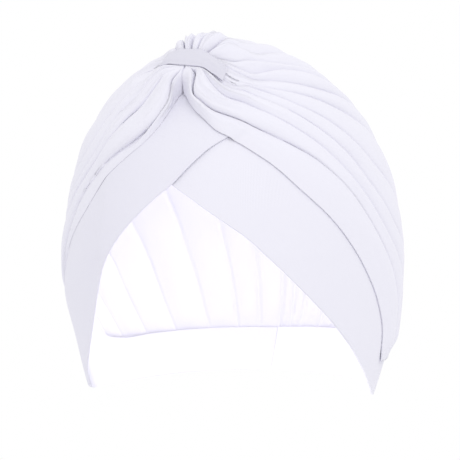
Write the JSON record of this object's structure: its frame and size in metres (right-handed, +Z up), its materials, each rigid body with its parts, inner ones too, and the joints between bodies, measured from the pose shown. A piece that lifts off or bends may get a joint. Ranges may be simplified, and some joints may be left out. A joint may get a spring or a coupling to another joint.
{
  "type": "turban head wrap",
  "caption": "Stretch-jersey turban cap: pleats fan from a knot loop at the front over two crossing front bands that meet at the nape.",
  "frame": {"origin": "top of the head inside the crown, on the wearer's centre line, where the wrap sits", "axes": "-Y towards the wearer's face, +X towards the wearer's left, +Z up"},
  "size_m": [0.1645, 0.1971, 0.1713],
  "materials": {
    "jersey": "matte"
  },
  "bodies": {
    "root": {"crown_panel_left": "jersey", "crown_panel_right": "jersey", "front_band_over": "jersey", "front_band_under": "jersey", "knot_loop": "jersey"}
  },
  "joints": []
}
